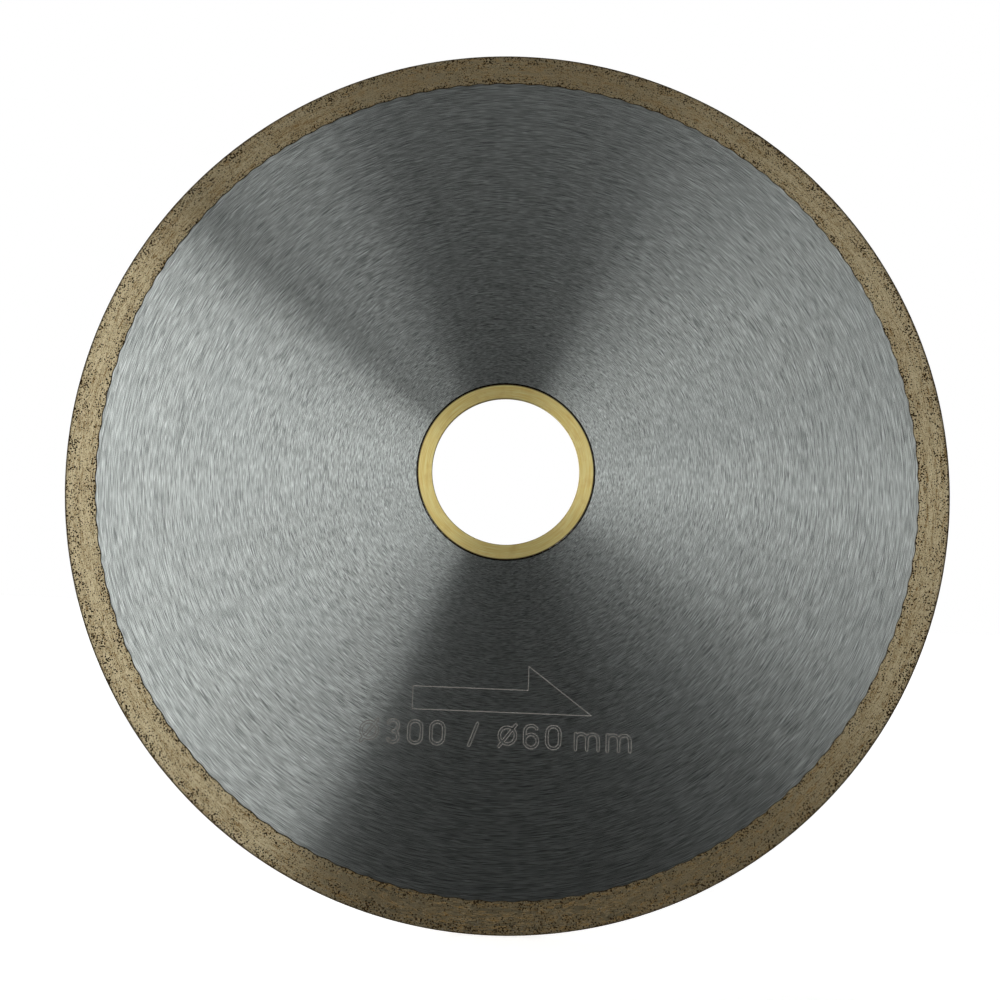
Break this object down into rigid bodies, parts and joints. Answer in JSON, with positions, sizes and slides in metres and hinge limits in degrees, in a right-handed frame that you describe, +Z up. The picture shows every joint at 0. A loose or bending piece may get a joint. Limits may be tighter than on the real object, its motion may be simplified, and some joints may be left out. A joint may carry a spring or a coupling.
{
  "type": "diamond blade",
  "caption": "Continuous-rim diamond blade: flat steel disc with an engraved turning arrow, a keyed sintered bronze rim holding diamond grit, and a loose brass reducing bush in its bore.",
  "frame": {"origin": "centre of the bore, midway through the blade's thickness", "axes": "+Y along the blade's axis from the marked face to the plain face, +Z up; the marked face looks towards -Y and its arrow lies below the bore, pointing to +X"},
  "size_m": [0.3, 0.0024, 0.3],
  "materials": {
    "core_steel": "ground in circles round the bore, fine concentric scratches",
    "sintered_bronze": "sintered bronze, dressed with fine circular grinding marks, dull",
    "diamond": "dark yellow-brown synthetic diamond crystals, glossy faces",
    "bush_brass": "turned yellow brass, fine circular tool marks"
  },
  "bodies": {
    "blade": {"steel_core": "core_steel", "diamond_rim": "sintered_bronze", "diamond_grit": "diamond"},
    "bush": {"reducing_bush": "bush_brass"}
  },
  "joints": [
    {"name": "bush_slide", "type": "slide", "parent": "blade", "child": "bush", "axis": [0, -1, 0], "range_m": [-0.006, 0.006]}
  ]
}
